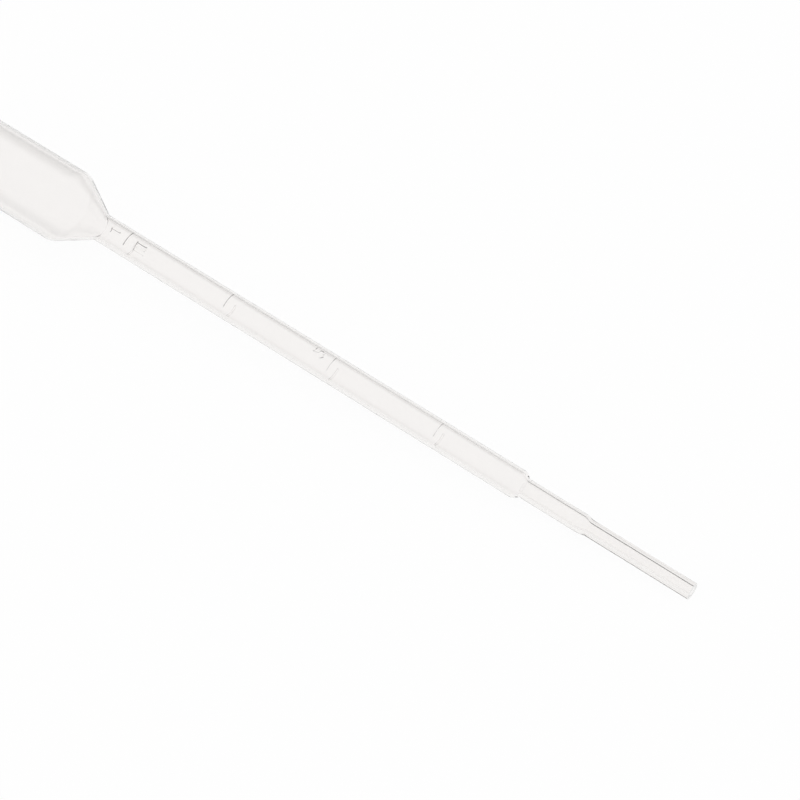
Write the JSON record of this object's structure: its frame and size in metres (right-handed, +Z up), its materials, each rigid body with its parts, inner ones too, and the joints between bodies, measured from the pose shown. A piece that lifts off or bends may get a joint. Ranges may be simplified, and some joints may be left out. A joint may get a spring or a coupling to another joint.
{
  "type": "plastic dropper pipette",
  "caption": "One-piece blow-moulded dropper pipette: a squeeze bulb on a graduated stem that narrows in steps to a fine open tip.",
  "frame": {"origin": "centre of the part's footprint, on the surface that it lies on", "axes": "+X along the pipette towards its open tip, +Z up, +Y across; the part lies on its bulb and tip, so its own axis slopes down to the tip by 2.34 degrees"},
  "size_m": [0.155, 0.0128, 0.0139],
  "materials": {
    "ldpe": "translucent milky low-density polyethylene with a waxy satin surface, as blown"
  },
  "bodies": {
    "root": {"pipette_body": "ldpe"}
  },
  "joints": []
}
